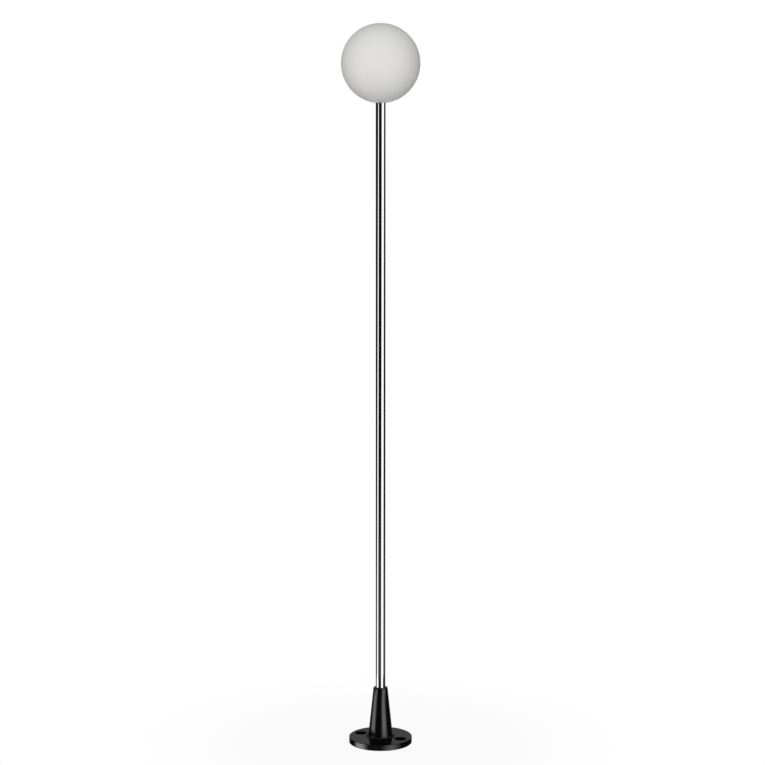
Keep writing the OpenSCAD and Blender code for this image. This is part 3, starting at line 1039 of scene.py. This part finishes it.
def makeBand(name, band, addLevel):
    # part of a ring round the post that only glossy surfaces see, fading out at its top
    (start, end), (bottom, top) = band["azimuths"], band["heights"]
    bm = bmesh.new()
    rows = [[], []]
    for step in range(bandSteps + 1):
        out = toWorld(shot["azimuth"] + start + (end - start) * step / bandSteps) * band["radius"]
        for row, height in zip(rows, (bottom, top)):
            row.append(bm.verts.new((out.x, out.y, height)))
    for step in range(bandSteps):
        bm.faces.new((rows[0][step], rows[0][step + 1], rows[1][step + 1], rows[1][step]))
    piece = finishMesh(name, bm)
    material, tree, _ = newMaterial(name)
    azimuth, height = addAzimuth(tree, addNode(tree, "ShaderNodeTexCoord").outputs["Object"])
    glow = wire(tree, "ShaderNodeEmission", {"Strength": addLevel(tree, azimuth, height)})[0]
    clear = addNode(tree, "ShaderNodeBsdfTransparent").outputs[0]
    mixShaders(tree, addRange(tree, height, band["fadeFrom"], top, smooth=True), glow, clear)
    piece.data.materials.append(material)
    for kind in ("camera", "diffuse", "transmission", "volume_scatter", "shadow"):
        setattr(piece, "visible_" + kind, False)


def addBaseLevel(tree, azimuth, height):
    level = studio["bandGloom"]
    for card in baseCards.values():
        side = math.copysign(1.0, card["outer"] - card["inner"])
        lit = addCard(tree, azimuth, card["inner"], card["outer"], card["soft"], side)
        rise = addRange(tree, height, *card["rise"], 0.0, card["level"], smooth=True)
        level = plus(tree, level, times(tree, lit, rise))
    return level


def addFlagLevel(tree, azimuth, height):
    return studio["bandGloom"]


def makeWorld():
    world = bpy.data.worlds.new("studio")
    scene.world = world
    world.use_nodes = True
    tree = world.node_tree
    background = tree.nodes["Background"]
    direction = addNode(tree, "ShaderNodeTexCoord").outputs["Generated"]
    azimuth, z = addAzimuth(tree, direction)
    elevation = times(tree, addMath(tree, "ARCSINE", z), 180 / math.pi)
    below = addRange(tree, elevation, 0.0, cardLow)
    glossy = studio["gloom"]
    for card in tallCards.values():
        inner = addRange(tree, below, 0.0, 1.0, *card["inner"])
        outer = addRange(tree, below, 0.0, 1.0, *card["outer"])
        lit = addCard(tree, azimuth, inner, outer, card["soft"], math.copysign(1.0, card["inner"][0]))
        top = addRange(tree, elevation, card["top"] + cardFade, card["top"], smooth=True)
        low = addRange(tree, elevation, *cardFoot, smooth=True)
        lit = times(tree, lit, times(tree, top, low))
        glossy = plus(tree, glossy, times(tree, lit, card["level"]))
    away = addMath(tree, "ABSOLUTE", azimuth)
    backdrop = times(tree, addRange(tree, away, *studio["backdropSide"], smooth=True),
                       addRange(tree, elevation, *studio["backdropTop"], smooth=True))
    nearFloor = addRange(tree, elevation, *studio["floorGlowRise"], smooth=True)
    glow = times(tree, nearFloor, studio["floorGlow"])
    deep = addRange(tree, elevation, *studio["deepGlowRise"], 0.0, studio["deepGlow"], smooth=True)
    ceiling = addRange(tree, away, *studio["ceilingSide"], *studio["ceiling"], smooth=True)
    below = addRange(tree, elevation, *studio["ceilingEnd"], smooth=True)
    ceiling = addRange(tree, below, 0.0, 1.0, studio["zenith"], ceiling)
    above = addRange(tree, elevation, *studio["ceilingRise"], smooth=True)
    ceiling = times(tree, ceiling, above)
    for extra in (times(tree, backdrop, studio["backdrop"]), glow, deep, ceiling):
        glossy = addMath(tree, "MAXIMUM", glossy, extra)
    rays = addNode(tree, "ShaderNodeLightPath").outputs
    level = addRange(tree, rays["Is Diffuse Ray"], 0.0, 1.0, glossy, studio["fill"])
    level = addRange(tree, rays["Is Camera Ray"], 0.0, 1.0, level, 1.0)
    feed(tree, level, background.inputs["Strength"])
    setSockets(background, Color=(1, 1, 1, 1))


lampTarget = Vector((0, 0, 1.0))
lamps = {
    "frontBox": {"azimuth": -9.0, "elevation": 18.0, "distance": 9.0, "size": (4.0, 4.0), "level": 6.5},
    "leftBox": {"azimuth": -88.0, "elevation": 3.0, "distance": 9.0, "size": (3.0, 3.0), "level": 1.2},
    "backBox": {"azimuth": 180.0, "elevation": 4.0, "distance": 9.0, "size": (2.5, 2.5), "level": 8.0},
}


def makeLamp(name, lamp):
    data = bpy.data.lights.new(name, "AREA")
    data.shape = "RECTANGLE"
    data.size, data.size_y = lamp["size"]
    data.energy = lamp["level"] * math.pi * data.size * data.size_y
    made = addObject(name, data)
    out = toWorld(shot["azimuth"] + lamp["azimuth"], lamp["elevation"])
    made.location = lampTarget + out * lamp["distance"]
    made.rotation_mode = "QUATERNION"
    made.rotation_quaternion = (-out).to_track_quat("-Z", "Y")
    made.visible_camera = False
    made.visible_glossy = False


makeFloor()
makeBand("baseCards", bands["cards"], addBaseLevel)
makeBand("footFlag", bands["flag"], addFlagLevel)
makeWorld()
for name, lamp in lamps.items():
    makeLamp(name, lamp)
scene.view_settings.view_transform = "Standard"
